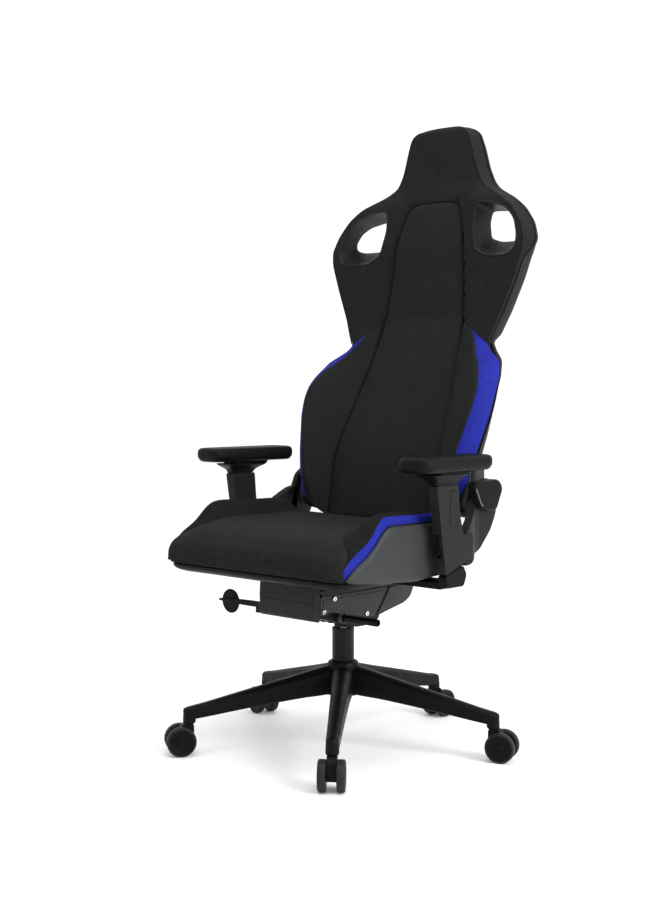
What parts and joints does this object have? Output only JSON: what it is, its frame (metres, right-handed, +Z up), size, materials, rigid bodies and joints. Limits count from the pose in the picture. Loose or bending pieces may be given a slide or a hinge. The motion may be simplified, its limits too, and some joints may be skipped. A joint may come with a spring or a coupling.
{
  "type": "gaming chair",
  "caption": "High-backed swivel chair on a five-star caster base with gas lift, rocking mechanism, reclining bucket back with shoulder openings, and adjustable armrests.",
  "frame": {"origin": "bottom centre of the bounding box, on the floor", "axes": "+Z up, -Y the way the sitter faces, +X to the sitter's left"},
  "size_m": [0.7744, 0.7483, 1.415],
  "materials": {
    "black_plastic": "satin moulded nylon",
    "wheel_plastic": "smooth, slightly soft tread",
    "grey_plastic": "satin, fine grain",
    "black_metal": "black powder coat",
    "steel": "zinc plated",
    "chrome": "polished",
    "soft_plastic": "matt soft-touch",
    "fabric_black": "soft matt microfibre",
    "fabric_blue": "soft matt microfibre, black front and blue side"
  },
  "bodies": {
    "base": {"five_star_base": "black_plastic", "column_tube": "black_metal", "guide_bush": "wheel_plastic"},
    "lift_rod": {"thrust_bearing": "steel", "rod_clip": "steel", "piston_rod": "chrome"},
    "lift": {"gas_cylinder": "chrome", "mechanism_housing": "black_metal", "tension_spring": "steel", "tilt_axle": "steel"},
    "carrier": {"carrier_plate": "black_metal", "side_plate_left": "grey_plastic", "side_plate_right": "grey_plastic", "front_cover": "black_plastic", "rear_cover": "grey_plastic", "side_screw_1": "chrome", "side_screw_2": "chrome", "side_screw_3": "chrome", "cross_arm_left": "black_plastic", "cross_arm_right": "black_plastic", "side_bracket_left": "grey_plastic", "side_bracket_right": "grey_plastic", "lower_rail_left": "steel", "lower_rail_right": "steel", "recline_pin_left": "steel", "recline_pin_right": "steel"},
    "seat": {"upper_rail_left": "steel", "upper_rail_right": "steel", "seat_pan": "black_plastic", "seat_panel_left": "grey_plastic", "seat_panel_right": "grey_plastic", "seat_cushion": "fabric_black"},
    "backrest": {"back_shell": "grey_plastic", "back_centre_pad": "fabric_black", "upper_back_pad": "fabric_black", "back_bolster_left": "fabric_blue", "back_bolster_right": "fabric_blue", "shoulder_bezel_left": "grey_plastic", "shoulder_bezel_right": "grey_plastic"},
    "height_lever": {"height_lever": "black_plastic"},
    "lock_lever": {"lock_lever": "black_plastic"},
    "recline_lever": {"recline_lever": "soft_plastic"},
    "arm_left": {"arm_post_left": "black_plastic"},
    "arm_slider_left": {"arm_slider_left": "black_plastic"},
    "arm_pad_left": {"arm_pad_left": "soft_plastic"},
    "arm_button_left": {"arm_button_left": "black_plastic"},
    "arm_right": {"arm_post_right": "black_plastic"},
    "arm_slider_right": {"arm_slider_right": "black_plastic"},
    "arm_pad_right": {"arm_pad_right": "soft_plastic"},
    "arm_button_right": {"arm_button_right": "black_plastic"},
    "caster_1": {"caster_yoke_1": "black_plastic"},
    "caster_wheels_1": {"caster_wheels_1": "wheel_plastic"},
    "caster_2": {"caster_yoke_2": "black_plastic"},
    "caster_wheels_2": {"caster_wheels_2": "wheel_plastic"},
    "caster_3": {"caster_yoke_3": "black_plastic"},
    "caster_wheels_3": {"caster_wheels_3": "wheel_plastic"},
    "caster_4": {"caster_yoke_4": "black_plastic"},
    "caster_wheels_4": {"caster_wheels_4": "wheel_plastic"},
    "caster_5": {"caster_yoke_5": "black_plastic"},
    "caster_wheels_5": {"caster_wheels_5": "wheel_plastic"}
  },
  "joints": [
    {"name": "seat_swivel", "type": "hinge", "parent": "base", "child": "lift_rod", "pos_m": [0.005, -0.026, 0.112], "axis": [0, 0, 1], "continuous": true},
    {"name": "seat_height", "type": "slide", "parent": "lift_rod", "child": "lift", "axis": [0, 0, 1], "range_m": [0, 0.1]},
    {"name": "seat_tilt", "type": "hinge", "parent": "lift", "child": "carrier", "pos_m": [0.005, -0.166, 0.338], "axis": [-1, 0, 0], "range_deg": [0, 12], "stiffness_Nm_per_rad": 160, "springref_deg": -28.65, "deforming": ["tension_spring"]},
    {"name": "seat_depth", "type": "slide", "parent": "carrier", "child": "seat", "axis": [0, -1, 0], "range_m": [0, 0.05]},
    {"name": "back_recline", "type": "hinge", "parent": "carrier", "child": "backrest", "pos_m": [0.005, 0.136, 0.568], "axis": [-1, 0, 0], "range_deg": [-5, 20]},
    {"name": "height_lever_lift", "type": "hinge", "parent": "carrier", "child": "height_lever", "pos_m": [-0.091, -0.158, 0.317], "axis": [0, 1, 0], "range_deg": [0, 8], "stiffness_Nm_per_rad": 3, "springref_deg": -17.19},
    {"name": "lock_lever_pull", "type": "slide", "parent": "carrier", "child": "lock_lever", "axis": [1, 0, 0], "range_m": [0, 0.012]},
    {"name": "recline_lever_lift", "type": "hinge", "parent": "carrier", "child": "recline_lever", "pos_m": [0.3, 0.136, 0.568], "axis": [-1, 0, 0], "range_deg": [0, 14], "stiffness_Nm_per_rad": 2, "springref_deg": -22.92},
    {"name": "arm_height_left", "type": "slide", "parent": "carrier", "child": "arm_left", "axis": [0, 0, 1], "range_m": [0, 0.08]},
    {"name": "arm_slide_left", "type": "slide", "parent": "arm_left", "child": "arm_slider_left", "axis": [0, -1, 0], "range_m": [0, 0.04]},
    {"name": "arm_turn_left", "type": "hinge", "parent": "arm_slider_left", "child": "arm_pad_left", "pos_m": [0.306, -0.038, 0.628], "axis": [0, 0, -1], "range_deg": [0, 20]},
    {"name": "arm_button_press_left", "type": "slide", "parent": "carrier", "child": "arm_button_left", "axis": [-1, 0, 0], "range_m": [0, 0.002], "stiffness_N_per_m": 900, "springref_m": -0.002},
    {"name": "arm_height_right", "type": "slide", "parent": "carrier", "child": "arm_right", "axis": [0, 0, 1], "range_m": [0, 0.08]},
    {"name": "arm_slide_right", "type": "slide", "parent": "arm_right", "child": "arm_slider_right", "axis": [0, -1, 0], "range_m": [0, 0.04]},
    {"name": "arm_turn_right", "type": "hinge", "parent": "arm_slider_right", "child": "arm_pad_right", "pos_m": [-0.296, -0.038, 0.628], "axis": [0, 0, 1], "range_deg": [0, 20]},
    {"name": "arm_button_press_right", "type": "slide", "parent": "carrier", "child": "arm_button_right", "axis": [1, 0, 0], "range_m": [0, 0.002], "stiffness_N_per_m": 900, "springref_m": -0.002},
    {"name": "caster_swivel_1", "type": "hinge", "parent": "base", "child": "caster_1", "pos_m": [0.22257, -0.29632, 0.072], "axis": [0, 0, 1], "continuous": true},
    {"name": "caster_roll_1", "type": "hinge", "parent": "caster_1", "child": "caster_wheels_1", "pos_m": [0.23511, -0.3119, 0.0325], "axis": [0.779, 0.627, 0], "continuous": true},
    {"name": "caster_swivel_2", "type": "hinge", "parent": "base", "child": "caster_2", "pos_m": [0.32932, 0.09739, 0.072], "axis": [0, 0, 1], "continuous": true},
    {"name": "caster_roll_2", "type": "hinge", "parent": "caster_2", "child": "caster_wheels_2", "pos_m": [0.34801, 0.1045, 0.0325], "axis": [-0.3556, 0.9346, 0], "continuous": true},
    {"name": "caster_swivel_3", "type": "hinge", "parent": "base", "child": "caster_3", "pos_m": [-0.01213, 0.32058, 0.072], "axis": [0, 0, 1], "continuous": true},
    {"name": "caster_roll_3", "type": "hinge", "parent": "caster_3", "child": "caster_wheels_3", "pos_m": [-0.01312, 0.34055, 0.0325], "axis": [-0.9988, -0.0494, 0], "continuous": true},
    {"name": "caster_swivel_4", "type": "hinge", "parent": "base", "child": "caster_4", "pos_m": [-0.32991, 0.0648, 0.072], "axis": [0, 0, 1], "continuous": true},
    {"name": "caster_roll_4", "type": "hinge", "parent": "caster_4", "child": "caster_wheels_4", "pos_m": [-0.34921, 0.07004, 0.0325], "axis": [-0.2617, -0.9652, 0], "continuous": true},
    {"name": "caster_swivel_5", "type": "hinge", "parent": "base", "child": "caster_5", "pos_m": [-0.18485, -0.31646, 0.072], "axis": [0, 0, 1], "continuous": true},
    {"name": "caster_roll_5", "type": "hinge", "parent": "caster_5", "child": "caster_wheels_5", "pos_m": [-0.19579, -0.3332, 0.0325], "axis": [0.8371, -0.5471, 0], "continuous": true}
  ]
}
